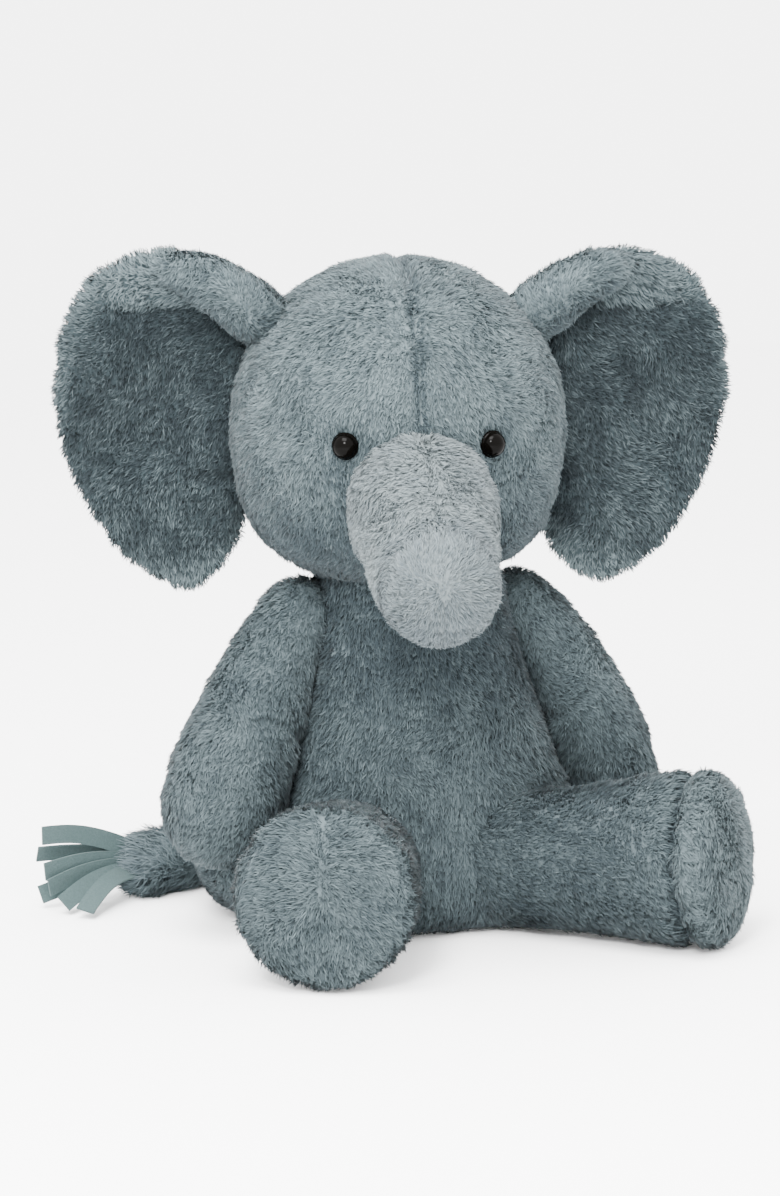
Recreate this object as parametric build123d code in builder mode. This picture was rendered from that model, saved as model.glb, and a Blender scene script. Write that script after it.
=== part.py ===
from build123d import *
from math import asin, cos, sin, radians
import os

os.makedirs("parts", exist_ok=True)

# A seated plush elephant, in millimetres.
# It faces -Y, its own left is +X, and it sits on Z = 0.

# Cloth and clearances
SKIN = 3.0  # plush cloth with its packed pile
GAP = 0.3  # between pieces of one body
PLAY = 0.6  # between pieces of different bodies

# Head
HEAD_CENTRE = (-8, -10, 202)
HEAD_TURN = -10
HEAD_RADIUS = 68

# Eyes, from the head's centre
EYE_X = 29.5
EYE_Z = -3
EYE_RADIUS = 5.4
EYE_PROUD = 0.8  # the ball's centre, outside the cloth
SHANK_RADIUS = 1.6
SHANK_LENGTH = 8
SHANK_DEPTH = 4.5
WASHER_RADIUS = 4.8
WASHER_THICKNESS = 1.2
WASHER_PLAY = 0.15
WASHER_DEPTH = 6.2

# Trunk, from the head's centre
TRUNK_ROOT = (0, -56, -26)
TRUNK_TIP = (0, -113, -50)
TRUNK_ROOT_RADIUS = 29
TRUNK_NECK_RADIUS = 25.5
TRUNK_TIP_RADIUS = 22.5

# Ears, from the head's centre: the left ear's outline, seen from the front
EAR_OUTLINE = [
    (43, 53),
    (60, 64),
    (80, 71),
    (99, 72),
    (120, 62),
    (134, 37),
    (135, 8),
    (127, -20),
    (109, -48),
    (84, -65),
    (61, -42),
]
EAR_BACK_Y = 12
EAR_PANEL = 3
EAR_PADDING = 2.4
EAR_ROOM = 3.5

# Torso: half width, half depth, centre Y and height of each section
TORSO = [
    (63, 54, 12, 0),
    (79, 64, 12, 10),
    (86, 67, 12, 24),
    (76, 62, 9, 42),
    (65, 56, 6, 64),
    (54, 48, 3, 92),
    (46, 41, 0, 114),
    (40, 37, -2, 128.2),
]
SEAT_HALF_WIDTH = 51
SEAT_HALF_DEPTH = 49
SEAT_Y = 12
SIDE_SEAM_LEAN = 6.5
POUCH_HALF_WIDTH = 46
POUCH_HALF_DEPTH = 28
POUCH_HEIGHT = 24
POUCH_Y = 30
POUCH_ROUND = 8
STITCH_RADIUS = 0.5
STITCH_RING_RADIUS = 14
STITCH_BALL_RADIUS = 69.8

# Arms: shoulder and hand centres
SHOULDER_RADIUS = 18
ARM_NECK_RADIUS = 17
HAND_RADIUS = 25
ARMS = {
    "left": ((48, -3, 124), (86, 1, 52)),
    "right": ((-48, -3, 124), (-85, -22, 51)),
}

# Legs: hip centres and the centres of the soles
HIP_RADIUS = 26
LEG_NECK_RADIUS = 22.5
ANKLE_RADIUS = 34.8
FOOT_LENGTH = 20
SOLE_ROUND = 9
SOLE_RADIUS = 23
LEGS = {
    "left": ((39, -42, 29), (97, -92, 36.4)),
    "right": ((-38, -41, 29), (-69, -110, 36.4)),
}

# Tail
TAIL_ROOT = (-20, 86, 16)
TAIL_TIP = (-92, 63, 17.6)
TAIL_RADIUS = 11.5
TAIL_NECK_RADIUS = 10.5
FRINGE_STRIPS = 7
STRIP_LENGTH = 42
STRIP_WIDTH = 6.5
STRIP_THICKNESS = 0.9
FRINGE_CORE_RADIUS = 4.2
FRINGE_BAND = 7
FRINGE_FLARE = 15

head_place = Location(HEAD_CENTRE, (0, 0, HEAD_TURN))


def save(block, name, place=Location()):
    """Names a piece and writes it, moved from its own frame to the toy's."""
    solid = place * block.part
    solid.label = name
    export_step(solid, f"parts/{name}.step")


def limb(start, end, r_root, r_neck, r_end, inset=0):
    """A round limb with a ball at its root and a ball end, shrunk by an inset."""
    way = Vector(*end) - Vector(*start)
    ball = r_root - inset
    neck = r_neck - inset
    tip = r_end - inset
    neck_z = (ball**2 - neck**2) ** 0.5
    lean = asin((neck - tip) / way.length)
    shoulder = (tip * cos(lean), way.length + tip * sin(lean))
    round_mid = (tip * cos(radians(55)), way.length + tip * sin(radians(55)))
    with BuildPart() as turned_form:
        with BuildSketch(Plane.XZ):
            with BuildLine():
                ThreePointArc((0, -ball), (ball * cos(0.6), -ball * sin(0.6)), (neck, neck_z))
                Line((neck, neck_z), shoulder)
                ThreePointArc(shoulder, round_mid, (0, way.length + tip))
                Line((0, way.length + tip), (0, -ball))
            make_face()
        revolve(axis=Axis.Z)
    return Plane(origin=start, z_dir=way).location * turned_form.part


def ball(centre, radius):
    """A plain ball."""
    with BuildPart() as round_form:
        with Locations(centre):
            Sphere(radius)
    return round_form.part


def torso_form(inset):
    """The torso's pear shape, shrunk all round by an inset."""
    with BuildPart() as pear:
        for half_width, half_depth, y, z in TORSO:
            at = max(z, inset)
            with BuildSketch(Plane.XY.offset(at)):
                with Locations((0, y)):
                    Ellipse(half_width - inset, half_depth - inset)
        loft(ruled=True)
    return pear.part


def trunk_form(inset):
    """The trunk in the head's frame, shrunk all round by an inset."""
    radii = (TRUNK_ROOT_RADIUS, TRUNK_NECK_RADIUS, TRUNK_TIP_RADIUS)
    return limb(TRUNK_ROOT, TRUNK_TIP, *radii, inset)


# ---------------------------------------------------------------- trunk
trunk_room = ball(TRUNK_ROOT, TRUNK_ROOT_RADIUS + PLAY)

with BuildPart() as trunk_cover:
    add(trunk_form(0))
    add(trunk_form(SKIN), mode=Mode.SUBTRACT)
save(trunk_cover, "trunk_cover", head_place)

with BuildPart() as trunk_stuffing:
    add(trunk_form(SKIN + GAP))
save(trunk_stuffing, "trunk_stuffing", head_place)

# ---------------------------------------------------------------- head
eye_depth = (HEAD_RADIUS**2 - EYE_X**2 - EYE_Z**2) ** 0.5
eye_planes = {
    "left": Plane(origin=(EYE_X, -eye_depth, EYE_Z), z_dir=(EYE_X, -eye_depth, EYE_Z)),
    "right": Plane(origin=(-EYE_X, -eye_depth, EYE_Z), z_dir=(-EYE_X, -eye_depth, EYE_Z)),
}

for side, eye_plane in eye_planes.items():
    # a domed bead on a shank that passes through the cloth
    with BuildPart() as eye:
        with Locations(eye_plane.offset(EYE_PROUD).location):
            Sphere(EYE_RADIUS)
        with Locations(eye_plane.offset(-SHANK_DEPTH).location):
            Cylinder(SHANK_RADIUS, SHANK_LENGTH)
    save(eye, f"eye_{side}", head_place)

    # the locking washer behind the cloth
    with BuildPart() as eye_washer:
        with Locations(eye_plane.offset(-WASHER_DEPTH).location):
            Cylinder(WASHER_RADIUS, WASHER_THICKNESS)
            Cylinder(SHANK_RADIUS + WASHER_PLAY, SHANK_LENGTH, mode=Mode.SUBTRACT)
    save(eye_washer, f"eye_washer_{side}", head_place)

for side, x in (("left", 1), ("right", -1)):
    # half of the head's cloth, from the seam over the forehead
    with BuildPart() as head_cover:
        Sphere(HEAD_RADIUS)
        Sphere(HEAD_RADIUS - SKIN, mode=Mode.SUBTRACT)
        add(trunk_room, mode=Mode.SUBTRACT)
        with Locations((-x * (100 - GAP / 2), 0, 0)):
            Box(200, 200, 200, mode=Mode.SUBTRACT)
        with Locations(eye_planes[side].offset(EYE_PROUD).location):
            Sphere(EYE_RADIUS + GAP, mode=Mode.SUBTRACT)
        with Locations(eye_planes[side].offset(-SHANK_DEPTH).location):
            Cylinder(SHANK_RADIUS + GAP, 1.5 * SHANK_LENGTH, mode=Mode.SUBTRACT)
    save(head_cover, f"head_cover_{side}", head_place)

with BuildPart() as head_stuffing:
    Sphere(HEAD_RADIUS - SKIN - GAP)
    add(trunk_room, mode=Mode.SUBTRACT)
    for eye_plane in eye_planes.values():
        with Locations(eye_plane.offset(-WASHER_DEPTH).location):
            Cylinder(WASHER_RADIUS + GAP, 6, mode=Mode.SUBTRACT)
        with Locations(eye_plane.offset(EYE_PROUD).location):
            Sphere(EYE_RADIUS + GAP, mode=Mode.SUBTRACT)
save(head_stuffing, "head_stuffing", head_place)

# ---------------------------------------------------------------- ears
ear_thickness = 2 * EAR_PANEL + 2 * GAP + EAR_PADDING
ear_middle = Vector(93, 5)
ear_layers = {
    "front": (EAR_BACK_Y - ear_thickness, EAR_PANEL, 1),
    "padding": (EAR_BACK_Y - EAR_PANEL - GAP - EAR_PADDING, EAR_PADDING, 0.9),
    "back": (EAR_BACK_Y - EAR_PANEL, EAR_PANEL, 1),
}

for layer, (near_y, thickness, size) in ear_layers.items():
    # one layer of the left ear: two cloth panels with thin padding between
    with BuildPart() as ear_layer:
        with BuildSketch(Plane.XZ.offset(-near_y)):
            outline = [ear_middle + (Vector(*point) - ear_middle) * size for point in EAR_OUTLINE]
            with BuildLine():
                Spline(*outline)
                Line(outline[-1], outline[0])
            make_face()
        extrude(amount=-thickness)
        Sphere(HEAD_RADIUS + EAR_ROOM, mode=Mode.SUBTRACT)
    save(ear_layer, f"ear_left_{layer}", head_place)

    # the right ear is its mirror
    with BuildPart() as ear_twin:
        add(ear_layer.part.mirror(Plane.YZ))
    save(ear_twin, f"ear_right_{layer}", head_place)

# ---------------------------------------------------------------- arms
arm_radii = (SHOULDER_RADIUS, ARM_NECK_RADIUS, HAND_RADIUS)
arm_rooms = []
for side, (shoulder, hand) in ARMS.items():
    # a soft tapered tube, closed at the hand
    with BuildPart() as arm_cover:
        add(limb(shoulder, hand, *arm_radii))
        add(limb(shoulder, hand, *arm_radii, SKIN), mode=Mode.SUBTRACT)
    save(arm_cover, f"arm_{side}_cover")

    with BuildPart() as arm_stuffing:
        add(limb(shoulder, hand, *arm_radii, SKIN + GAP))
    save(arm_stuffing, f"arm_{side}_stuffing")
    arm_rooms.append(limb(shoulder, hand, *arm_radii, -PLAY))

# ---------------------------------------------------------------- legs


def leg_form(plane, length, inset):
    """A leg along a plane's normal: a ball at the hip, a cone, and a drum foot."""
    hip = HIP_RADIUS - inset
    neck = LEG_NECK_RADIUS - inset
    ankle = ANKLE_RADIUS - inset
    end = length - inset
    flat = ankle - SOLE_ROUND
    neck_z = (hip**2 - neck**2) ** 0.5
    edge = SOLE_ROUND * cos(radians(45))
    edge_mid = (flat + edge, end - SOLE_ROUND + edge)
    with BuildPart() as turned_form:
        with BuildSketch(Plane.XZ):
            with BuildLine():
                ThreePointArc((0, -hip), (hip * cos(0.6), -hip * sin(0.6)), (neck, neck_z))
                Polyline((neck, neck_z), (ankle, length - FOOT_LENGTH), (ankle, end - SOLE_ROUND))
                ThreePointArc((ankle, end - SOLE_ROUND), edge_mid, (flat, end))
                Polyline((flat, end), (0, end), (0, -hip))
            make_face()
        revolve(axis=Axis.Z)
    return plane.location * turned_form.part


leg_rooms = []
for side, (hip, foot) in LEGS.items():
    way = Vector(*foot) - Vector(*hip)
    leg_plane = Plane(origin=hip, z_dir=way)
    sole_plane = leg_plane.offset(way.length - SKIN)

    with BuildPart() as leg_cover:
        add(leg_form(leg_plane, way.length, 0))
        add(leg_form(leg_plane, way.length, SKIN), mode=Mode.SUBTRACT)
        with BuildSketch(sole_plane.offset(-1)):
            Circle(SOLE_RADIUS + GAP)
        extrude(amount=2 * SKIN, mode=Mode.SUBTRACT)
    save(leg_cover, f"leg_{side}_cover")

    # the round sole patch
    with BuildPart() as sole:
        with BuildSketch(sole_plane):
            Circle(SOLE_RADIUS)
        extrude(amount=SKIN)
    save(sole, f"sole_{side}")

    with BuildPart() as leg_stuffing:
        add(leg_form(leg_plane, way.length, SKIN + GAP))
    save(leg_stuffing, f"leg_{side}_stuffing")
    leg_rooms.append(ball(hip, HIP_RADIUS + PLAY))

# ---------------------------------------------------------------- tail
tail_radii = (TAIL_RADIUS, TAIL_NECK_RADIUS, TAIL_RADIUS)
with BuildPart() as tail_cover:
    add(limb(TAIL_ROOT, TAIL_TIP, *tail_radii))
    add(limb(TAIL_ROOT, TAIL_TIP, *tail_radii, SKIN), mode=Mode.SUBTRACT)
save(tail_cover, "tail_cover")

with BuildPart() as tail_stuffing:
    add(limb(TAIL_ROOT, TAIL_TIP, *tail_radii, SKIN + GAP))
save(tail_stuffing, "tail_stuffing")

# the fringe: one strip of faux suede, cut into tongues and rolled at its top edge
tail_way = (Vector(*TAIL_TIP) - Vector(*TAIL_ROOT)).normalized()
fringe_start = Vector(*TAIL_TIP) + tail_way * (TAIL_RADIUS + GAP)
fringe_plane = Plane(origin=fringe_start, z_dir=tail_way)
with BuildPart(fringe_plane) as tail_fringe:
    Cylinder(
        FRINGE_CORE_RADIUS + STRIP_THICKNESS,
        FRINGE_BAND,
        align=(Align.CENTER, Align.CENTER, Align.MIN),
    )
    for turn in range(FRINGE_STRIPS):
        with Locations(Location((0, 0, 0), (0, 0, turn * 360 / FRINGE_STRIPS))):
            with Locations(Location((FRINGE_CORE_RADIUS, 0, 1), (0, FRINGE_FLARE, 0))):
                Box(
                    STRIP_THICKNESS,
                    STRIP_WIDTH,
                    STRIP_LENGTH,
                    align=(Align.CENTER, Align.CENTER, Align.MIN),
                )
save(tail_fringe, "tail_fringe")

# ---------------------------------------------------------------- torso
torso_outer = torso_form(0)
torso_inner = torso_form(SKIN)
torso_core = torso_form(SKIN + GAP)
rooms = [
    limb(TAIL_ROOT, TAIL_TIP, *tail_radii, -5 * PLAY),
    *arm_rooms,
    *leg_rooms,
]

with BuildPart() as seat_panel:
    with BuildSketch():
        with Locations((0, SEAT_Y)):
            Ellipse(SEAT_HALF_WIDTH, SEAT_HALF_DEPTH)
    extrude(amount=SKIN)
save(seat_panel, "seat_panel")

for face, y in (("front", -1), ("back", 1)):
    # half of the torso's cloth, from the side seams
    with BuildPart() as body_cover:
        add(torso_outer)
        with Locations(Location((0, SEAT_Y, 0), (SIDE_SEAM_LEAN, 0, 0))):
            with Locations((0, -y * (100 - GAP / 2), 75)):
                Box(200, 200, 200, mode=Mode.SUBTRACT)
        add(torso_inner, mode=Mode.SUBTRACT)
        for room in rooms:
            add(room, mode=Mode.SUBTRACT)
        with BuildSketch():
            with Locations((0, SEAT_Y)):
                Ellipse(SEAT_HALF_WIDTH + GAP, SEAT_HALF_DEPTH + GAP)
        extrude(amount=SKIN + GAP, mode=Mode.SUBTRACT)
    save(body_cover, f"body_{face}")

# a flat bag of plastic pellets low in the body
with BuildPart() as pellet_pouch:
    with BuildSketch(Plane.XY.offset(SKIN + 2 * GAP)):
        with Locations((0, POUCH_Y)):
            Ellipse(POUCH_HALF_WIDTH, POUCH_HALF_DEPTH)
    extrude(amount=POUCH_HEIGHT)
    fillet(pellet_pouch.edges(), POUCH_ROUND)

with BuildPart() as pouch_pocket:
    with BuildSketch(Plane.XY.offset(SKIN + GAP)):
        with Locations((0, POUCH_Y)):
            Ellipse(POUCH_HALF_WIDTH + GAP, POUCH_HALF_DEPTH + GAP)
    extrude(amount=POUCH_HEIGHT + 2 * GAP)

save(pellet_pouch, "pellet_pouch")

with BuildPart() as body_stuffing:
    add(torso_core)
    for room in rooms:
        add(room, mode=Mode.SUBTRACT)
    add(pouch_pocket.part, mode=Mode.SUBTRACT)
save(body_stuffing, "body_stuffing")

# ---------------------------------------------------------------- neck
ring_z = -((STITCH_BALL_RADIUS**2 - STITCH_RING_RADIUS**2) ** 0.5)
with BuildPart() as neck_stitching:
    with Locations((0, 0, ring_z)):
        Torus(STITCH_RING_RADIUS, STITCH_RADIUS)
save(neck_stitching, "neck_stitching", head_place)
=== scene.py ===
import math

import bpy
import numpy as np
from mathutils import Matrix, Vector


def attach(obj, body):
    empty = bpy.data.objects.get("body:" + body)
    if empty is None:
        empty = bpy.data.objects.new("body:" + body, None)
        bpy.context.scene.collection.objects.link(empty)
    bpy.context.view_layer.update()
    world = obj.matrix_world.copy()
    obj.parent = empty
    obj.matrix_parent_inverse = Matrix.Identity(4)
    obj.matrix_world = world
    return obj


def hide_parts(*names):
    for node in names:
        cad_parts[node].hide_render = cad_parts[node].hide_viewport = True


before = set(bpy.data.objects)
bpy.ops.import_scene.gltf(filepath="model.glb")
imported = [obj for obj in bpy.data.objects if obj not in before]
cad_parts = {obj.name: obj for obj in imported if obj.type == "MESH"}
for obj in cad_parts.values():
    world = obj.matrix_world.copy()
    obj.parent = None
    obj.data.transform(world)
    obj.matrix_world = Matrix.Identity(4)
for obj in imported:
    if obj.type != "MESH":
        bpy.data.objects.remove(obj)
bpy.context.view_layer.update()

MM = 0.001
TAU = 2 * math.pi
PILE = 2.6  # how far the fur stands off the cloth
AROUND = 96  # points round a turned form
rng = np.random.default_rng(7)

HEAD_CENTRE = np.array([-8.0, -10.0, 202.0])
HEAD_TURN = math.radians(-10)
HEAD_RADIUS = 68.2
TRUNK_PATCH = (0, -56, -21)  # middle of the head's patch that the trunk covers
BEAD_ROOM = 5.9  # radius round an eye that is free of fur
EYE = np.array([29.5, -61.2, -3.0])
SIDES = {"left": 1, "right": -1}


# ------------------------------------------------------------ shapes


def unit(v):
    return v / np.maximum(np.linalg.norm(v, axis=-1, keepdims=True), 1e-9)


def to_toy(points):
    """Points of the head's own frame, in the toy's."""
    c, s = math.cos(HEAD_TURN), math.sin(HEAD_TURN)
    turn = np.array([[c, -s, 0], [s, c, 0], [0, 0, 1]])
    return points @ turn.T + HEAD_CENTRE


def to_head(points):
    c, s = math.cos(HEAD_TURN), math.sin(HEAD_TURN)
    turn = np.array([[c, -s, 0], [s, c, 0], [0, 0, 1]])
    return (points - HEAD_CENTRE) @ turn


def curve(knots, at):
    """A smooth curve through rows of knots, read at positions from 0 to 1."""
    knots = np.array(knots, float)
    n = len(knots) - 1
    slope = np.gradient(knots, axis=0)
    x = np.clip(np.asarray(at, float) * n, 0, n)
    i = np.minimum(x.astype(int), n - 1)
    t = (x - i)[:, None]
    a, b, ma, mb = knots[i], knots[i + 1], slope[i], slope[i + 1]
    h = (2 * t**3 - 3 * t**2 + 1) * a + (t**3 - 2 * t**2 + t) * ma
    return h + (-2 * t**3 + 3 * t**2) * b + (t**3 - t**2) * mb


def mesh_object(name, points, faces, smooth=True):
    mesh = bpy.data.meshes.new(name)
    mesh.from_pydata((np.asarray(points) * MM).tolist(), [], faces)
    mesh.update()
    mesh.polygons.foreach_set("use_smooth", [smooth] * len(mesh.polygons))
    obj = bpy.data.objects.new(name, mesh)
    bpy.context.scene.collection.objects.link(obj)
    return obj


def skinned(name, rings):
    """A closed form through rings of points, each end closed at its middle."""
    rings = np.asarray(rings)
    count, around, _ = rings.shape
    points = np.vstack([rings.reshape(-1, 3), rings[0].mean(0), rings[-1].mean(0)])
    faces = []
    for i in range(count - 1):
        for j in range(around):
            k = (j + 1) % around
            faces.append((i * around + j, i * around + k, (i + 1) * around + k, (i + 1) * around + j))
    first, last = count * around, count * around + 1
    for j in range(around):
        k = (j + 1) % around
        faces.append((first, k, j))
        faces.append((last, (count - 1) * around + j, (count - 1) * around + k))
    return mesh_object(name, points, faces)


def tube(name, knots, steps=40, around=48, flat=1.0, cap=1.0):
    """A round form along knots of x, y, z and radius, with domed ends."""
    line = curve(knots, np.linspace(0, 1, steps))
    centre, radius = line[:, :3], np.maximum(line[:, 3], 0.5)
    way = unit(np.gradient(centre, axis=0))
    side = unit(np.cross(way, (0.0, 0.3, 1.0)))
    up = np.cross(side, way)
    rings = []
    angle = np.linspace(0, TAU, around, endpoint=False)
    wheel = np.cos(angle)[:, None], np.sin(angle)[:, None] * flat
    for turn in np.radians(np.arange(-80, 0, 10)):
        r = radius[0] * math.cos(turn)
        middle = centre[0] + way[0] * radius[0] * math.sin(turn)
        rings.append(middle + r * (wheel[0] * side[0] + wheel[1] * up[0]))
    for c, r, s, u in zip(centre, radius, side, up):
        rings.append(c + r * (wheel[0] * s + wheel[1] * u))
    for turn in np.radians(np.arange(10, 81, 10)):
        r = radius[-1] * math.cos(turn)
        middle = centre[-1] + way[-1] * radius[-1] * cap * math.sin(turn)
        rings.append(middle + r * (wheel[0] * side[-1] + wheel[1] * up[-1]))
    return skinned(name, rings)


def join(name, parts):
    bpy.ops.object.select_all(action="DESELECT")
    for part in parts:
        part.select_set(True)
    bpy.context.view_layer.objects.active = parts[0]
    bpy.ops.object.join()
    parts[0].name = name
    return parts[0]


def modified(obj, kind, **values):
    """obj with one modifier applied."""
    mod = obj.modifiers.new("m", kind)
    for key, value in values.items():
        setattr(mod, key, value)
    bpy.context.view_layer.objects.active = obj
    bpy.ops.object.select_all(action="DESELECT")
    obj.select_set(True)
    bpy.ops.object.modifier_apply(modifier=mod.name)
    return obj


def coordinates(obj):
    co = np.empty(len(obj.data.vertices) * 3, np.float32)
    obj.data.vertices.foreach_get("co", co)
    return co.reshape(-1, 3).astype(float) / MM


def move_to(obj, points):
    obj.data.vertices.foreach_set("co", (points * MM).astype(np.float32).ravel())
    obj.data.update()


def normals(obj):
    n = np.empty(len(obj.data.vertices) * 3, np.float32)
    obj.data.vertices.foreach_get("normal", n)
    return n.reshape(-1, 3).astype(float)


def waves(points, size, seed=0):
    """A smooth random field of about -1 to 1 with bumps of a given size."""
    local = np.random.default_rng(seed)
    total = np.zeros(len(points))
    for _ in range(7):
        way = local.normal(size=3)
        way *= TAU / (size * 2.0) * local.uniform(0.6, 1.4) / np.linalg.norm(way)
        total += np.sin(points @ way + local.uniform(0, TAU))
    return total / 2.6


def stuffed(obj, pressure=4.0, cap=5.0, frames=14):
    """Fills a cloth form with air, so that it crowns between its seams."""
    start = modified(obj, "REMESH", mode="VOXEL", voxel_size=0.0042)
    modified(start, "SMOOTH", factor=0.5, iterations=3)
    rest = coordinates(start)
    scene = bpy.context.scene
    scene.frame_set(1)
    mod = start.modifiers.new("cloth", "CLOTH")
    mod.settings.quality = 5
    mod.settings.mass = 0.15
    mod.settings.use_pressure = True
    mod.settings.uniform_pressure_force = pressure
    mod.settings.tension_stiffness = 22
    mod.settings.compression_stiffness = 22
    mod.settings.bending_stiffness = 3
    mod.settings.effector_weights.gravity = 0
    mod.point_cache.frame_start, mod.point_cache.frame_end = 1, frames
    for step in range(1, frames + 1):
        scene.frame_set(step)
    bpy.context.view_layer.objects.active = start
    bpy.ops.object.modifier_apply(modifier=mod.name)
    scene.frame_set(1)
    blown = coordinates(start)
    shift = blown - rest
    size = np.linalg.norm(shift, axis=1, keepdims=True)
    shift *= np.minimum(1, cap / np.maximum(size, 1e-6))
    shift[~np.isfinite(shift).all(1)] = 0
    # the form keeps its measured size, and the cloth's unevenness shows
    shift -= shift.mean(0)
    spread = (shift * normals(start)).sum(1, keepdims=True)
    shift = normals(start) * (spread - spread.mean()) * 0.8
    move_to(start, rest + shift)
    modified(start, "SUBSURF", levels=1)
    return start


# ------------------------------------------------------------ materials


class Nodes:
    """A material's node tree, built a node at a time."""

    def __init__(self, name):
        self.material = bpy.data.materials.new(name)
        self.material.use_nodes = True
        self.tree = self.material.node_tree
        self.shader = self.tree.nodes["Principled BSDF"]

    def add(self, kind, links=(), **values):
        node = self.tree.nodes.new(kind)
        for key, value in values.items():
            if key in node.bl_rna.properties:
                setattr(node, key, value)
            else:
                node.inputs[key.replace("_", " ")].default_value = value
        for socket, source in dict(links).items():
            self.tree.links.new(source, node.inputs[socket])
        return node

    def mix(self, factor, a, b, kind="MIX"):
        node = self.add("ShaderNodeMix", data_type="RGBA", blend_type=kind)
        for index, value in ((0, factor), (6, a), (7, b)):
            if isinstance(value, bpy.types.NodeSocket):
                self.tree.links.new(value, node.inputs[index])
            else:
                node.inputs[index].default_value = value
        return node.outputs[2]

    def set(self, **values):
        for key, value in values.items():
            self.shader.inputs[key.replace("_", " ")].default_value = value

    def colour(self, source):
        self.tree.links.new(source, self.shader.inputs["Base Color"])

    def bump(self, height, strength, distance):
        node = self.add("ShaderNodeBump", {"Height": height}, Strength=strength, Distance=distance)
        self.tree.links.new(node.outputs[0], self.shader.inputs["Normal"])


def rgb(colour, scale=1.0):
    """A shader colour from an sRGB one."""
    c = np.array(colour) / 255
    linear = np.where(c < 0.04045, c / 12.92, ((c + 0.055) / 1.055) ** 2.4)
    return (*np.clip(linear * scale, 0, 1), 1)


def backing(name, colour):
    """The dense lower pile of plush, with fine grain and slow patches."""
    m = Nodes(name)
    where = m.add("ShaderNodeTexCoord").outputs["Object"]
    fine = m.add("ShaderNodeTexNoise", {"Vector": where}, Scale=420.0, Detail=4.0)
    broad = m.add("ShaderNodeTexNoise", {"Vector": where}, Scale=38.0, Detail=3.0)
    grain = m.mix(fine.outputs["Fac"], rgb(colour, 0.45), rgb(colour, 0.95))
    m.colour(m.mix(broad.outputs["Fac"], grain, rgb(colour, 0.8), "MIX"))
    m.bump(fine.outputs["Fac"], 0.6, 0.0008)
    m.set(Roughness=0.95, Sheen_Weight=0.03, Sheen_Roughness=0.6, Specular_IOR_Level=0.02)
    return m.material


def fur_material(name, colour, root=0.32, tip=1.25, low=0.3):
    """Fur: dark at the roots and pale at the tips, each lock its own tone."""
    m = Nodes(name)
    strand = m.add("ShaderNodeUVMap", uv_map="OFBake")
    split = m.add("ShaderNodeSeparateXYZ", {"Vector": strand.outputs[0]})
    ramp = m.add("ShaderNodeValToRGB", {"Fac": split.outputs["Y"]})
    ramp.color_ramp.elements[0].color = rgb(colour, root)
    ramp.color_ramp.elements[1].color = rgb(colour, tip)
    middle = ramp.color_ramp.elements.new(0.5)
    middle.color = rgb(colour, 0.82)
    tone = m.add("ShaderNodeValToRGB", {"Fac": split.outputs["X"]})
    tone.color_ramp.elements[0].color = (low, low * 1.04, low * 1.1, 1)
    tone.color_ramp.elements[1].color = (1.0, 1.0, 0.99, 1)
    m.colour(m.mix(1.0, ramp.outputs[0], tone.outputs[0], "MULTIPLY"))
    face = m.add("ShaderNodeNewGeometry")
    sign = m.add("ShaderNodeMath", {0: face.outputs["Backfacing"]}, operation="MULTIPLY_ADD")
    sign.inputs[1].default_value, sign.inputs[2].default_value = -2.0, 1.0
    flip = {0: face.outputs["Normal"], "Scale": sign.outputs[0]}
    outward = m.add("ShaderNodeVectorMath", flip, operation="SCALE")
    m.tree.links.new(outward.outputs[0], m.shader.inputs["Normal"])
    m.set(Roughness=0.85, Sheen_Weight=0.03, Sheen_Roughness=0.5, Specular_IOR_Level=0.02)
    return m.material


def woven(name, colour, scale):
    m = Nodes(name)
    where = m.add("ShaderNodeTexCoord").outputs["Object"]
    wave = m.add("ShaderNodeTexWave", {"Vector": where}, Scale=scale, Distortion=2.0, Detail=2.0)
    noise = m.add("ShaderNodeTexNoise", {"Vector": where}, Scale=scale * 2, Detail=3.0)
    m.colour(m.mix(wave.outputs["Fac"], rgb(colour, 0.75), rgb(colour, 1.05)))
    m.bump(noise.outputs["Fac"], 0.4, 0.0005)
    m.set(Roughness=0.9, Sheen_Weight=0.2)
    return m.material


def suede_material():
    m = Nodes("faux_suede")
    where = m.add("ShaderNodeTexCoord").outputs["Object"]
    fine = m.add("ShaderNodeTexNoise", {"Vector": where}, Scale=1300.0, Detail=4.0)
    broad = m.add("ShaderNodeTexNoise", {"Vector": where}, Scale=60.0, Detail=2.0)
    grain = m.mix(fine.outputs["Fac"], rgb((34, 45, 46)), rgb((70, 84, 84)))
    m.colour(m.mix(broad.outputs["Fac"], grain, rgb((49, 62, 62))))
    m.bump(fine.outputs["Fac"], 0.5, 0.0004)
    m.set(Roughness=0.95, Sheen_Weight=0.04, Specular_IOR_Level=0.08)
    return m.material


def bead_material():
    m = Nodes("eye_bead")
    where = m.add("ShaderNodeTexCoord").outputs["Object"]
    noise = m.add("ShaderNodeTexNoise", {"Vector": where}, Scale=150.0)
    m.colour(m.mix(noise.outputs["Fac"], (0.0006, 0.0005, 0.0004, 1), (0.0012, 0.001, 0.0008, 1)))
    m.set(Roughness=0.12, Specular_IOR_Level=0.03)
    return m.material


HEAD_GREY = (84, 95, 98)
BODY_GREY = (73, 83, 86)
TRUNK_GREY = (94, 102, 104)
EAR_GREY = (76, 86, 89)

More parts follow.
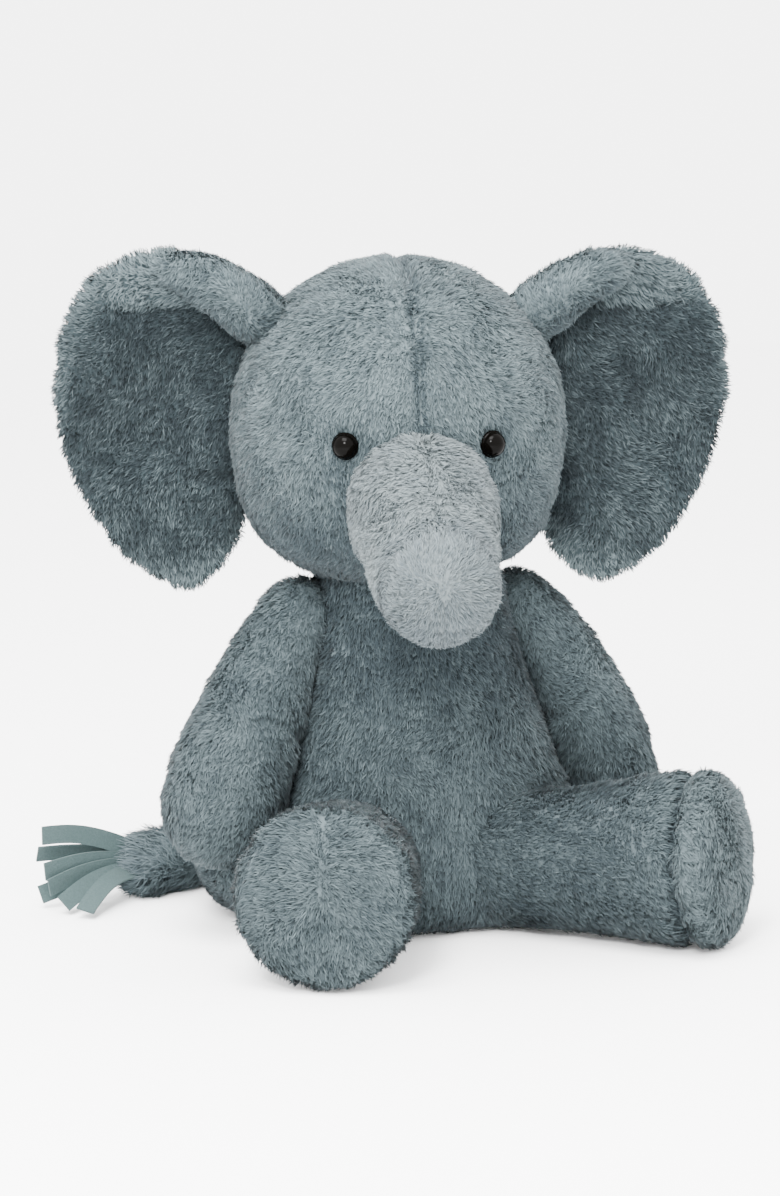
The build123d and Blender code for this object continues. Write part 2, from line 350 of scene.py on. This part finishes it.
looks = {
    "head": (backing("head_backing", HEAD_GREY), fur_material("head_fur", HEAD_GREY, 0.45)),
    "body": (backing("body_backing", BODY_GREY), fur_material("body_fur", BODY_GREY)),
    "tail": (backing("tail_backing", BODY_GREY), fur_material("tail_fur", HEAD_GREY, 0.75, low=0.5)),
    "trunk": (backing("trunk_backing", TRUNK_GREY), fur_material("trunk_fur", TRUNK_GREY, 0.75, low=0.55)),
    "ear": (backing("ear_backing", (48, 57, 60)), fur_material("ear_fur", EAR_GREY, low=0.16)),
}
fibre = woven("stuffing_fibre", (235, 235, 230), 160)
pouch_cloth = woven("pouch_cloth", (205, 200, 190), 420)
thread = woven("sewing_thread", (96, 108, 113), 900)
suede = suede_material()
bead = bead_material()
washer = woven("washer_plastic", (225, 224, 218), 60)


def painted(obj, material):
    obj.data.materials.clear()
    obj.data.materials.append(material)
    return obj


def filled(skin, body, node):
    """The loose fibre inside a skin, in place of the plain CAD filling."""
    lump = skin.copy()
    lump.data = skin.data.copy()
    lump.name = f"{node}_fibre"
    bpy.context.scene.collection.objects.link(lump)
    modified(lump, "DECIMATE", ratio=0.2)
    p, n = coordinates(lump), normals(lump)
    move_to(lump, p - n * (3.2 + 0.5 * waves(p, 9, 41))[:, None])
    painted(lump, fibre)
    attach(lump, body)
    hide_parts(node)
    return lump


# ------------------------------------------------------------ fur
LOCKS_A_PIECE = 60000  # a skin's fur is split into pieces of this many locks


def sampled(obj, density):
    """Random points over a surface, their normals, spaced by area."""
    mesh = obj.data
    mesh.calc_loop_triangles()
    tri = np.empty(len(mesh.loop_triangles) * 3, np.int32)
    mesh.loop_triangles.foreach_get("vertices", tri)
    tri = tri.reshape(-1, 3)
    co, no = coordinates(obj), normals(obj)
    a, b, c = co[tri[:, 0]], co[tri[:, 1]], co[tri[:, 2]]
    area = np.linalg.norm(np.cross(b - a, c - a), axis=1) / 2
    count = int(area.sum() * density)
    pick = rng.choice(len(tri), count, p=area / area.sum())
    u, v = rng.random(count), rng.random(count)
    over = u + v > 1
    u[over], v[over] = 1 - u[over], 1 - v[over]
    w = np.stack([1 - u - v, u, v], 1)[:, :, None]
    return (co[tri[pick]] * w).sum(1), unit((no[tri[pick]] * w).sum(1))


def furred(
    obj, body, look, flow, density=2.1, length=4.2, width=0.54, lean=52, keep=None, shade=None
):
    """Covers a form with locks of fur that ride on the same body."""
    p, n = sampled(obj, density)
    if keep is not None:
        kept = keep(p, n)
        p, n = p[kept], n[kept]
    count = len(p)
    drift = np.stack([waves(p, 16, s) for s in (1, 2, 3)], 1)
    jitter = rng.normal(size=(count, 3))
    way = unit(flow(p, n)) + 0.45 * drift + 0.32 * jitter
    along = unit(way - n * (way * n).sum(1, keepdims=True))
    swing = 9 * np.clip(waves(p, 7, 5), -1, 1) + rng.normal(0, 7, count)
    angle = np.radians(np.clip(lean + swing, 15, 66))[:, None]
    size = length * np.clip(1 + 0.16 * waves(p, 5, 8) + rng.normal(0, 0.13, count), 0.55, 1.5)[:, None]
    first = unit(n * np.cos(angle) + along * np.sin(angle))
    second = unit(n * np.cos(angle + 0.35) + along * np.sin(angle + 0.35) + 0.2 * jitter)
    middle = p + first * size * 0.5
    tip = middle + second * size * 0.5
    # neighbouring locks lean together
    cell = np.floor((p + 2.2 * drift) / 3.6).astype(np.int64) + 500
    _, group = np.unique((cell[:, 0] * 1000 + cell[:, 1]) * 1000 + cell[:, 2], return_inverse=True)
    members = np.bincount(group)[:, None]
    centre = np.stack([np.bincount(group, tip[:, k]) for k in range(3)], 1) / members
    pull = 0.42 * np.clip(1 + 0.5 * rng.normal(size=(count, 1)), 0, 1.8)
    tip = tip + (centre[group] - tip) * pull
    middle = middle + (centre[group] - tip) * pull * 0.3
    twist = rng.uniform(-1.1, 1.1, (count, 1))
    flat = unit(np.cross(first, n) + 1e-6)
    side = flat * np.cos(twist) + np.cross(first, flat) * np.sin(twist)
    half = width * rng.uniform(0.6, 1.3, (count, 1)) / 2
    low = p - n * 0.4
    root_pair = [low - side * half, low + side * half]
    middle_pair = [middle + side * half * 0.85, middle - side * half * 0.85]
    points = np.stack([*root_pair, *middle_pair, tip], 1)
    points[..., 2] = np.maximum(points[..., 2], 0.15)
    facing = unit(n + 0.24 * rng.normal(size=(count, 3)) + 0.25 * first)
    tone = 0.5 + 0.11 * waves(p, 9, 11) + 0.06 * waves(p, 30, 12) + rng.normal(0, 0.2, count)
    if shade is not None:
        tone = tone + shade(p, n)
    tone = np.clip(tone, 0.02, 0.98)
    for number, k in enumerate(range(0, count, LOCKS_A_PIECE), 1):
        part = slice(k, k + LOCKS_A_PIECE)
        piece = locks(f"{obj.name}_fur_{number}", points[part], facing[part], tone[part])
        painted(piece, looks[look][1])
        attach(piece, body)


def locks(name, points, facing, tone):
    """A mesh of locks, each a quad and a triangle that taper to a tip."""
    count = len(points)
    mesh = bpy.data.meshes.new(name)
    mesh.vertices.add(count * 5)
    mesh.vertices.foreach_set("co", (points * MM).astype(np.float32).ravel())
    mesh.loops.add(count * 7)
    corner = np.array([0, 1, 2, 3, 3, 2, 4])
    index = (np.arange(count)[:, None] * 5 + corner).astype(np.int32)
    mesh.loops.foreach_set("vertex_index", index.ravel())
    mesh.polygons.add(count * 2)
    start = np.arange(count)[:, None] * 7 + np.array([0, 4])
    mesh.polygons.foreach_set("loop_start", start.ravel().astype(np.int32))
    mesh.polygons.foreach_set("loop_total", np.tile([4, 3], count).astype(np.int32))
    mesh.update(calc_edges=True)
    layer = mesh.uv_layers.new(name="OFBake")
    height = np.array([0.02, 0.02, 0.5, 0.5, 0.98])[corner]
    uv = np.stack([np.repeat(tone, 7), np.tile(height, count)], 1)
    layer.data.foreach_set("uv", uv.astype(np.float32).ravel())
    mesh.polygons.foreach_set("use_smooth", [True] * (count * 2))
    mesh.normals_split_custom_set_from_vertices(np.repeat(facing, 5, axis=0).tolist())
    obj = bpy.data.objects.new(name, mesh)
    bpy.context.scene.collection.objects.link(obj)
    return obj


# ------------------------------------------------------------ head


def head_form():
    """A ball with fuller cheeks."""
    rings = []
    turn = np.linspace(0, TAU, AROUND, endpoint=False)
    for height in np.radians(np.linspace(-86, 86, 60)):
        x, y = np.cos(turn) * math.cos(height), np.sin(turn) * math.cos(height)
        ring = np.stack([x, y, np.full(AROUND, math.sin(height))], 1)
        cheek_height = math.exp(-(((math.degrees(height) + 40) / 17) ** 2))
        cheek = 5.0 * cheek_height * (0.35 + 0.65 * np.abs(ring[:, 0]))
        rings.append(ring * (HEAD_RADIUS - PILE + cheek)[:, None])
    return skinned("head_skin", rings)


def dents(p, n):
    """The head's forehead seam and the hollows round its eyes, as a move inwards."""
    on_top = np.clip((p[:, 2] + 5) / 20, 0, 1) * (p[:, 1] < 20)
    depth = 2.2 * np.exp(-((p[:, 0] / 2.0) ** 2)) * on_top
    for x in (-1, 1):
        away = np.linalg.norm(p - EYE * (x, 1, 1), axis=1)
        depth += 4.0 * np.exp(-((away / 8.5) ** 2))
    return p - n * depth[:, None]


head = stuffed(head_form(), cap=2)
move_to(head, to_toy(dents(coordinates(head), normals(head))))
painted(head, looks["head"][0])
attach(head, "head")
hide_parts("head_cover_left", "head_cover_right")
filled(head, "head", "head_stuffing")


def head_flow(p, n):
    q = to_head(p)
    part = np.sign(q[:, 0]) * np.exp(-np.abs(q[:, 0]) / 9)
    down = np.stack([0.25 * q[:, 0] / 60 + 0.9 * part * (q[:, 2] > -5), 0.5 + 0 * part, -1 + 0 * part], 1)
    c, s = math.cos(HEAD_TURN), math.sin(HEAD_TURN)
    return down @ np.array([[c, -s, 0], [s, c, 0], [0, 0, 1]]).T


def head_keep(p, n):
    q = to_head(p)
    free = np.ones(len(p), bool)
    for x in (-1, 1):
        free &= np.linalg.norm(q - EYE * (x, 1, 1), axis=1) > BEAD_ROOM
    in_trunk = np.linalg.norm(q - TRUNK_PATCH, axis=1) < 23
    return free & ~in_trunk


def head_shade(p, n):
    q = to_head(p)
    dark = np.zeros(len(p))
    # painted shade in the hollows round the eyes
    for x in (-1, 1):
        dark -= 0.45 * np.exp(-((np.linalg.norm(q - EYE * (x, 1, 1), axis=1) / 11) ** 2))
    # painted shade along the forehead seam's crease
    seam = np.exp(-((q[:, 0] / 2.4) ** 2)) * (q[:, 2] > -8) * (q[:, 1] < 20)
    # painted shade on the lower head, deeper towards its bottom
    under = np.clip((-q[:, 2] - 8) / 34, 0, 1)
    return dark - 0.6 * seam - 0.62 * under


furred(head, "head", "head", head_flow, length=4.0, keep=head_keep, shade=head_shade)

# ------------------------------------------------------------ trunk
trunk_knots = [
    (0, -46, -20, 24.5 - PILE),
    (0, -66, -25.5, 30 - PILE),
    (0, -84, -36, 28 - PILE),
    (0, -99, -45.5, 25.6 - PILE),
    (0, -112, -50.5, 24.2 - PILE),
]
trunk = stuffed(tube("trunk_skin", trunk_knots, cap=0.8), cap=2)
q = coordinates(trunk)
crease = np.exp(-((q[:, 0] / 1.6) ** 2)) * (q[:, 2] > -45) * (q[:, 1] < -50) * (q[:, 1] > -108)
ring = np.exp(-(((q[:, 1] + 108) / 2.6) ** 2)) * (q[:, 2] > -52)
move_to(trunk, to_toy(q - normals(trunk) * (1.3 * crease + 1.2 * ring)[:, None]))
painted(trunk, looks["trunk"][0])
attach(trunk, "trunk")
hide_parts("trunk_cover")
filled(trunk, "trunk", "trunk_stuffing")


def trunk_flow(p, n):
    q = to_head(p)
    out = np.stack([1.2 * np.tanh(q[:, 0] / 5), -0.15 + 0 * q[:, 0], -0.6 + 0 * q[:, 0]], 1)
    end = q[:, 1] < -116
    out[end] = unit((q - (0, -130, -50))[end])
    c, s = math.cos(HEAD_TURN), math.sin(HEAD_TURN)
    return out @ np.array([[c, -s, 0], [s, c, 0], [0, 0, 1]]).T


furred(
    trunk,
    "trunk",
    "trunk",
    trunk_flow,
    length=3.8,
    # painted shade on the trunk's downward faces; the end past its ring is darker too
    shade=lambda p, n: 0.16 - 0.3 * np.clip(-n[:, 2], 0, 1) - 0.3 * (to_head(p)[:, 1] < -106),
    keep=lambda p, n: np.linalg.norm(to_head(p), axis=1) > 66,
)

# ------------------------------------------------------------ ears
EAR_LINE = [
    (48, 40),
    (50, 52),
    (64, 64),
    (84, 71),
    (104, 70),
    (122, 60),
    (133, 41),
    (137, 16),
    (133, -10),
    (122, -33),
    (107, -51),
    (88, -62),
    (74, -59),
    (62, -44),
    (54, -20),
    (50, 10),
]


def ear_depth(x, z):
    """How far forward the ear's cupped middle surface is."""
    away = np.hypot((x - 92) / 48, (z - 4) / 66)
    return 9 - 13 * np.clip(away, 0, 1.1) ** 2 * np.clip((x - 55) / 30, 0, 1)


def ear_form(name):
    """A thin padded leaf, cupped forwards, as an upper and a lower shell."""
    line = np.array(EAR_LINE, float) - (92, 4)
    closed = np.vstack([line, line[:1]])
    outline = curve(closed, np.linspace(0, 1, 121))[:-1]
    outline *= 1 - PILE * 0.8 / np.linalg.norm(outline, axis=1, keepdims=True)
    rings = []
    for turn in np.radians(np.linspace(-88, 88, 45)):
        share = math.cos(turn) ** 0.45
        flat = outline * share + (92, 4)
        y = ear_depth(flat[:, 0], flat[:, 1]) + 4.6 * np.sin(turn) * (1 - 0.35 * share**6)
        rings.append(np.stack([flat[:, 0], y, flat[:, 1]], 1))
    return skinned(name, rings)


FOLD = [(91, -3, 61, 7.0), (82, -7, 59.5, 10.0), (70, -8, 54, 12.0), (58, -6, 45, 12.5), (49, -1, 38, 11)]
POCKET = (76, 116, 47)  # the rim's turned edge above the ear's face: its ends and its height



def out_from_middle(q):
    """How far out a point of an ear is: 0 at its middle and about 1 at its rim."""
    return np.hypot((np.abs(q[:, 0]) - 92) / 46, (q[:, 2] - 4) / 66)


def turned_rim(x, z):
    """1 on the band of plush turned over the top of the ear's face, 0 off it."""
    start, end, height = POCKET
    along = np.clip((x - start) / 6, 0, 1) * np.clip((end - x) / 8, 0, 1)
    return along * np.clip((z - height) / 1.6, 0, 1)


for side, x in SIDES.items():
    ear = ear_form(f"ear_{side}_skin")
    modified(ear, "REMESH", mode="VOXEL", voxel_size=0.0016)
    modified(ear, "SMOOTH", factor=0.5, iterations=8)
    q = coordinates(ear)
    q[:, 1] += 1.6 * waves(q, 26, 21) + 2.0 * np.exp(-(((q[:, 2] + 18) / 3) ** 2)) * (q[:, 0] < 84)
    q[:, 1] -= 3.4 * turned_rim(q[:, 0], q[:, 2])
    q[:, 2] -= 3.4 * np.clip(0.5 - q[:, 2] / 80, 0, 1)
    q[:, 0] = x * (q[:, 0] - (2 if x > 0 else 0))
    if x < 0:
        ear.data.flip_normals()
    move_to(ear, to_toy(q))
    painted(ear, looks["ear"][0])
    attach(ear, f"ear_{side}")
    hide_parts(*[f"ear_{side}_{layer}" for layer in ("front", "back", "padding")])

    def ear_flow(p, n, x=x):
        q = to_head(p)
        out = np.stack([0.6 * x + 0 * q[:, 0], -0.1 + 0 * q[:, 0], -0.8 + 0.006 * q[:, 2]], 1)
        rim = np.clip((out_from_middle(q) - 0.78) / 0.2, 0, 1)[:, None]
        return out * (1 - 0.6 * rim) + rim * (q - (92 * x, 4, 4)) / 110

    def ear_shade(p, n, x=x):
        q = to_head(p)
        rim = np.clip(out_from_middle(q), 0, 1.1)
        # painted shade, darker towards the head
        inner = np.clip((84 - np.abs(q[:, 0])) / 26, 0, 1)
        band = turned_rim(np.abs(q[:, 0]), q[:, 2])
        # painted shadow just below the turned rim
        under = np.exp(-(((q[:, 2] - POCKET[2] + 5) / 6) ** 2)) * (1 - band)
        # painted rim light: paler fur towards the ear's edge
        face = 0.75 * np.clip((rim - 0.8) / 0.2, 0, 1) + 0.5 * band
        face = face - 0.36 - 0.14 * inner - 0.2 * under
        # the ear's back is of the head's paler plush
        return np.where(n[:, 1] > 0.2, 0.1, face)

    ear_pile = dict(density=2.2, length=4.2, width=0.52, lean=48)
    furred(ear, f"ear_{side}", "ear", ear_flow, shade=ear_shade, **ear_pile)

    fold = tube(f"ear_{side}_fold", FOLD, steps=28, around=36, flat=0.8)
    modified(fold, "REMESH", mode="VOXEL", voxel_size=0.0016)
    modified(fold, "SMOOTH", factor=0.5, iterations=4)
    q = coordinates(fold)
    q[:, 0] = x * (q[:, 0] - (2 if x > 0 else 0))
    if x < 0:
        fold.data.flip_normals()
    move_to(fold, to_toy(q))
    painted(fold, looks["head"][0])
    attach(fold, f"ear_{side}")

    def fold_shade(p, n):
        # painted shade on the fold's downward faces
        return -0.1 - 0.2 * (n[:, 2] < -0.3)

    furred(fold, f"ear_{side}", "head", ear_flow, length=4.0, shade=fold_shade)

# ------------------------------------------------------------ eyes
for side, x in SIDES.items():
    turn = np.linspace(0, TAU, 48, endpoint=False)
    out = unit(EYE * (x, 1, 1))
    right = unit(np.cross(out, (0, 0, 1)))
    up = np.cross(right, out)
    rings = []
    # a back plate, a rolled rim and a dome
    profile = [(3, -2.4), (4.9, -2.2), (5.25, -1.6), (5.3, -0.9), (4.9, -0.5), (4.75, -0.3)]
    profile += [(4.75 * math.cos(t), -0.3 + 3.8 * math.sin(t)) for t in np.radians(np.arange(6, 89, 6))]
    for r, height in profile:
        ring = out * height + r * (np.cos(turn)[:, None] * right + np.sin(turn)[:, None] * up)
        rings.append(to_toy(ring + EYE * (x, 1, 1) - out * 1.5))
    eye = skinned(f"eye_{side}_bead", rings)
    painted(eye, bead)
    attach(eye, "head")
    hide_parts(f"eye_{side}")

# ------------------------------------------------------------ torso
TORSO = [
    (0, 12, 46, 38),
    (1.5, 12, 63, 54),
    (6, 12, 77, 62),
    (14, 12, 84, 66),
    (24, 12, 87, 67.5),
    (34, 11, 81, 65),
    (46, 9, 74, 61),
    (62, 6, 66, 56.5),
    (80, 4, 59, 51.5),
    (98, 1, 52, 46.5),
    (114, -1, 47, 42),
    (130, -4, 42, 38),
    (146, -7, 36, 35),
    (156, -8, 26, 26),
]
turn = np.linspace(0, TAU, AROUND, endpoint=False)
rings = []
for z, y, half_width, half_depth in curve(TORSO, np.linspace(0, 1, 64)):
    a, b = half_width - PILE, half_depth - PILE
    # the upper body leans a little to the toy's right
    x = a * np.cos(turn) - 3 * (z > 60) * (z - 60) / 100
    rings.append(np.stack([x, y + b * np.sin(turn), np.full(AROUND, z + 0.6)], 1))
torso = stuffed(skinned("torso_skin", rings), cap=3)
q = coordinates(torso)
q[:, 2] = np.maximum(q[:, 2], 0.6)
move_to(torso, q)
painted(torso, looks["body"][0])
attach(torso, "torso")
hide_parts("body_front", "body_back", "seat_panel")
filled(torso, "torso", "body_stuffing")


def torso_flow(p, n):
    return np.stack([p[:, 0] / 90, (p[:, 1] - 8) / 160, -1 + 0 * p[:, 0]], 1)


def torso_shade(p, n):
    """Painted shadow on the chest under the head, and painted shade low down near the floor."""
    chest = np.clip((p[:, 2] - 84) / 30, 0, 1)
    near_floor = np.clip((26 - p[:, 2]) / 20, 0, 1)
    return -0.1 - 0.4 * chest - 0.25 * near_floor


furred(
    torso,
    "torso",
    "body",
    torso_flow,
    keep=lambda p, n: (p[:, 2] > 2.5) & (p[:, 2] < 150),
    shade=torso_shade,
)

# the bag of pellets low in the body, slack and lumpy
rings = []
for lift in np.radians(np.linspace(-85, 85, 24)):
    share = math.cos(lift) ** 0.5
    x, y = 45.5 * share * np.cos(turn), 30 + 27.5 * share * np.sin(turn)
    rings.append(np.stack([x, y, np.full(AROUND, 15.6 + 11.6 * math.sin(lift))], 1))
pouch = skinned("pellet_bag", rings)
q = coordinates(pouch)
move_to(pouch, q - normals(pouch) * (0.8 + 0.5 * waves(q, 7, 61))[:, None])
painted(pouch, pouch_cloth)
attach(pouch, "torso")
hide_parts("pellet_pouch")

# ------------------------------------------------------------ arms
ARMS = {
    "left": [
        (46, -2, 126, 17),
        (60, -3, 107, 20),
        (71, -2, 86, 23),
        (80, 0, 66, 25),
        (85, 1, 51, 25),
    ],
    "right": [
        (-47, -4, 126, 17.5),
        (-60, -9, 107, 20.5),
        (-71, -15, 86, 23.5),
        (-80, -20, 67, 25.5),
        (-84, -22, 54, 26),
    ],
}
for side, knots in ARMS.items():
    arm = stuffed(tube(f"arm_{side}_skin", [(a, b, c, r - PILE) for a, b, c, r in knots]), cap=2.5)
    q = coordinates(arm)
    line = curve(knots, np.linspace(0, 1, 60))
    # a soft crease along the inner face
    bend = 1.6 * np.exp(-(((q[:, 2] - 80 + 14 * waves(q, 40, 31)) / 4) ** 2)) * (np.abs(q[:, 0]) < 76)
    move_to(arm, q - normals(arm) * bend[:, None])
    painted(arm, looks["body"][0])
    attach(arm, f"arm_{side}")
    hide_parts(f"arm_{side}_cover")
    filled(arm, f"arm_{side}", f"arm_{side}_stuffing")
    x = SIDES[side]

    def arm_flow(p, n, x=x):
        out = np.stack([0.35 * x + 0 * p[:, 0], -0.1 + 0 * p[:, 0], -1 + 0 * p[:, 0]], 1)
        return out

    furred(arm, f"arm_{side}", "body", arm_flow)

# ------------------------------------------------------------ legs
LEGS = {
    "left": (np.array([39.0, -42.0, 29.0]), np.array([98.0, -94.0, 36.0])),
    "right": (np.array([-38.0, -41.0, 29.0]), np.array([-69.0, -109.0, 36.0])),
}
FOOT_PAD = 11.0  # from the foot's seam to its sole
LEG_PROFILE = [
    (-44, 4),
    (-40, 14),
    (-30, 22),
    (-16, 25.5),
    (0, 26.3),
    (16, 27),
    (34, 29.5),
    (48, 31.8),
    (58, 33),
]
for side, (hip, foot) in LEGS.items():
    length = np.linalg.norm(foot - hip)
    way = (foot - hip) / length
    across = unit(np.cross(way, (0, 0, 1)))
    up = np.cross(across, way)
    stretch = (length - 4) / 64
    profile = [(t * (stretch if t > 0 else 1), r) for t, r in LEG_PROFILE]
    profile += [(length - 2.5, 33.4), (length - 0.5, 31.6), (length + 1.0, 30.2)]
    profile += [(length + 3.4, 26), (length + 5.2, 18), (length + 6, 9), (length + 6.3, 2)]
    rings = []
    for t, r in curve(profile, np.linspace(0, 1, 70)):
        r = max(r + 0.4, 0.4)
        rings.append(hip + way * t + r * (np.cos(turn)[:, None] * across + np.sin(turn)[:, None] * up))
    leg = stuffed(skinned(f"leg_{side}_skin", rings), cap=2.5)
    q = coordinates(leg)
    t = (q - hip) @ way
    off = q - hip - t[:, None] * way
    r = np.linalg.norm(off, axis=1)
    # the seam between the leg's tube and the padded foot is drawn in, with gathers
    spin = np.arctan2(off @ up, off @ across)
    past_seam = t - length + FOOT_PAD
    seam = np.exp(-((past_seam / 3.2) ** 2)) * (r > 20)
    gather = np.exp(-((past_seam / 8) ** 2)) * np.cos(20 * spin + 2 * waves(q, 20, 51)) * (r > 20)
    q = q - normals(leg) * (4.2 * seam + 0.9 * gather)[:, None]
    q[:, 2] = np.maximum(q[:, 2], 0.8)
    move_to(leg, q)
    painted(leg, looks["body"][0])
    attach(leg, f"leg_{side}")
    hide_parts(f"leg_{side}_cover", f"sole_{side}")
    filled(leg, f"leg_{side}", f"leg_{side}_stuffing")

    def leg_flow(p, n, way=way, foot=foot, length=length, hip=hip):
        t = (p - hip) @ way
        out = np.tile(way, (len(p), 1)) + (0, 0, -0.35)
        on_sole = t > length - 1
        out[on_sole] = unit((p - foot)[on_sole]) * 0.6 + (0, 0, -0.6)
        return out

    def leg_shade(p, n, hip=hip, way=way, length=length, side=side):
        t = (p - hip) @ way
        off = p - hip - t[:, None] * way
        r = np.linalg.norm(off, axis=1)
        past_seam = t - length + FOOT_PAD
        # painted shade in the crease of the foot's seam
        seam = np.exp(-((past_seam / 2.6) ** 2)) * (r > 20)
        upper = np.clip(-past_seam / 22, 0, 1)
        # painted light: the left foot's pad is paler past its seam, the right foot's is not
        pad = 0.3 * (past_seam > 2) if side == "left" else 0
        return 0.05 - 0.5 * seam - 0.3 * upper + pad

    furred(leg, f"leg_{side}", "body", leg_flow, shade=leg_shade, keep=lambda p, n: p[:, 2] > 1.5)

# ------------------------------------------------------------ tail
TAIL = [
    (-20, 84, 15, 9.5),
    (-40, 82, 14.6, 9.5),
    (-66, 74, 14, 10),
    (-84, 67, 13.4, 10.5),
    (-97, 61, 13, 10.5),
]
tail = stuffed(tube("tail_skin", TAIL), cap=1.5)
painted(tail, looks["body"][0])
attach(tail, "tail")
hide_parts("tail_cover")
filled(tail, "tail", "tail_stuffing")
tail_way = unit(np.array([-72.0, -23.0, 1.6]))
furred(
    tail,
    "tail",
    "tail",
    lambda p, n: np.tile(tail_way, (len(p), 1)),
    density=2.6,
    length=9.0,
    width=0.5,
    lean=48,
    keep=lambda p, n: p[:, 2] > 3.5,
)

# ------------------------------------------------------------ fringe
strips = []
root = np.array([-97.0, 61.0, 14.5])
side_way = unit(np.cross(tail_way, (0, 0, 1)))
up_way = np.cross(side_way, tail_way)
# how far each tongue's end rises and fans, how much it bows, and its roll
TONGUES = [
    (15, 1, 4, 4),
    (6, 8, 2, -30),
    (1, -1, 2.5, -4),
    (-5, -3, 2.5, -6),
    (-9, 3, 1, 14),
    (-10, -10, 3, 34),
    (-11, -20, 4, 62),
]
STRIP_LENGTH = 51.0
STRIP_WIDTH = 7.6
STRIP_THICKNESS = 0.9
for rise, fan, bow, roll in TONGUES:
    s = np.linspace(0, 1, 22)[:, None]
    turn_by = math.radians(roll)
    start = root + up_way * rise * 0.3 + side_way * fan * 0.15
    spread = up_way * rise * 0.75 + side_way * fan
    line = start + tail_way * (STRIP_LENGTH - 0.35 * abs(fan)) * s * 0.93 + spread * s**1.3
    line = line + up_way * bow * np.sin(math.pi * s**1.15)
    line[:, 2] = np.maximum(line[:, 2], 0.6 + STRIP_WIDTH / 2 * math.cos(turn_by))
    wide = up_way * math.cos(turn_by) + side_way * math.sin(turn_by)
    way = unit(np.gradient(line, axis=0))
    across = unit(wide - way * (way @ wide)[:, None])
    out = np.cross(way, across)
    half, thick = STRIP_WIDTH / 2 * (0.7 + 0.3 * np.clip(s * 4, 0, 1)), STRIP_THICKNESS / 2
    box_rings = []
    for i in range(len(line)):
        a, o, h = across[i], out[i], half[i]
        corners = [a * h + o * thick, -a * h + o * thick, -a * h - o * thick, a * h - o * thick]
        box_rings.append([line[i] + c for c in corners])
    strip = skinned("strip", box_rings)
    strip.data.polygons.foreach_set("use_smooth", [False] * len(strip.data.polygons))
    strips.append(strip)
fringe = join("tail_fringe_suede", strips)
q = coordinates(fringe)
q[:, 2] = np.maximum(q[:, 2], 0.3)
move_to(fringe, q)
painted(fringe, suede)
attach(fringe, "tail")
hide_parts("tail_fringe")

# ------------------------------------------------------------ inner pieces
for name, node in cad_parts.items():
    if "stuffing" in name or "padding" in name:
        painted(node, fibre)
    elif "washer" in name:
        painted(node, washer)
    elif name == "neck_stitching":
        painted(node, thread)
    elif name == "tail_fringe":
        painted(node, suede)
    elif name in ("eye_left", "eye_right"):
        painted(node, bead)
    elif name.startswith("trunk"):
        painted(node, looks["trunk"][0])
    elif name.startswith("ear"):
        painted(node, looks["ear"][0])
    else:
        painted(node, looks["body"][0])

# ------------------------------------------------------------ floor, light and camera
FLOOR = 3000
corners = [(-FLOOR, -FLOOR, 0), (FLOOR, -FLOOR, 0), (FLOOR, FLOOR, 0), (-FLOOR, FLOOR, 0)]
floor = mesh_object("floor", corners, [(0, 1, 2, 3)])
paper = Nodes("floor_paper")
paper.set(Base_Color=(0.95, 0.95, 0.95, 1), Roughness=0.9, Specular_IOR_Level=0.1)
painted(floor, paper.material)


def lamp(name, at, aim, size, power):
    data = bpy.data.lights.new(name, "AREA")
    data.size = size
    data.energy = power
    obj = bpy.data.objects.new(name, data)
    obj.location = Vector(at)
    obj.rotation_euler = (Vector(aim) - Vector(at)).to_track_quat("-Z", "Y").to_euler()
    bpy.context.scene.collection.objects.link(obj)
    return obj


lamp("key", (-0.5, -0.7, 1.6), (0, 0, 0.12), 0.9, 95)
lamp("catch_light", (-0.55, -0.95, 0.75), (0, 0, 0.2), 0.24, 30.0)
world = bpy.data.worlds.new("world")
world.use_nodes = True
world.node_tree.nodes["Background"].inputs[0].default_value = (1, 1, 1, 1)
world.node_tree.nodes["Background"].inputs[1].default_value = 5.6
bpy.context.scene.world = world

azimuth, elevation, distance = math.radians(-18), math.radians(8.5), 1.3
aim = np.array([-0.0113, -0.0109, 0.132])
level = math.cos(elevation)
away = np.array([math.sin(azimuth) * level, -math.cos(azimuth) * level, math.sin(elevation)])
data = bpy.data.cameras.new("camera")
camera = bpy.data.objects.new("camera", data)
bpy.context.scene.collection.objects.link(camera)
camera.location = Vector(aim + away * distance)
camera.rotation_euler = Vector(-away).to_track_quat("-Z", "Y").to_euler()
data.sensor_width = 36
data.lens = 36 * 2.5 * distance * 1000 / 1196
bpy.context.scene.camera = camera
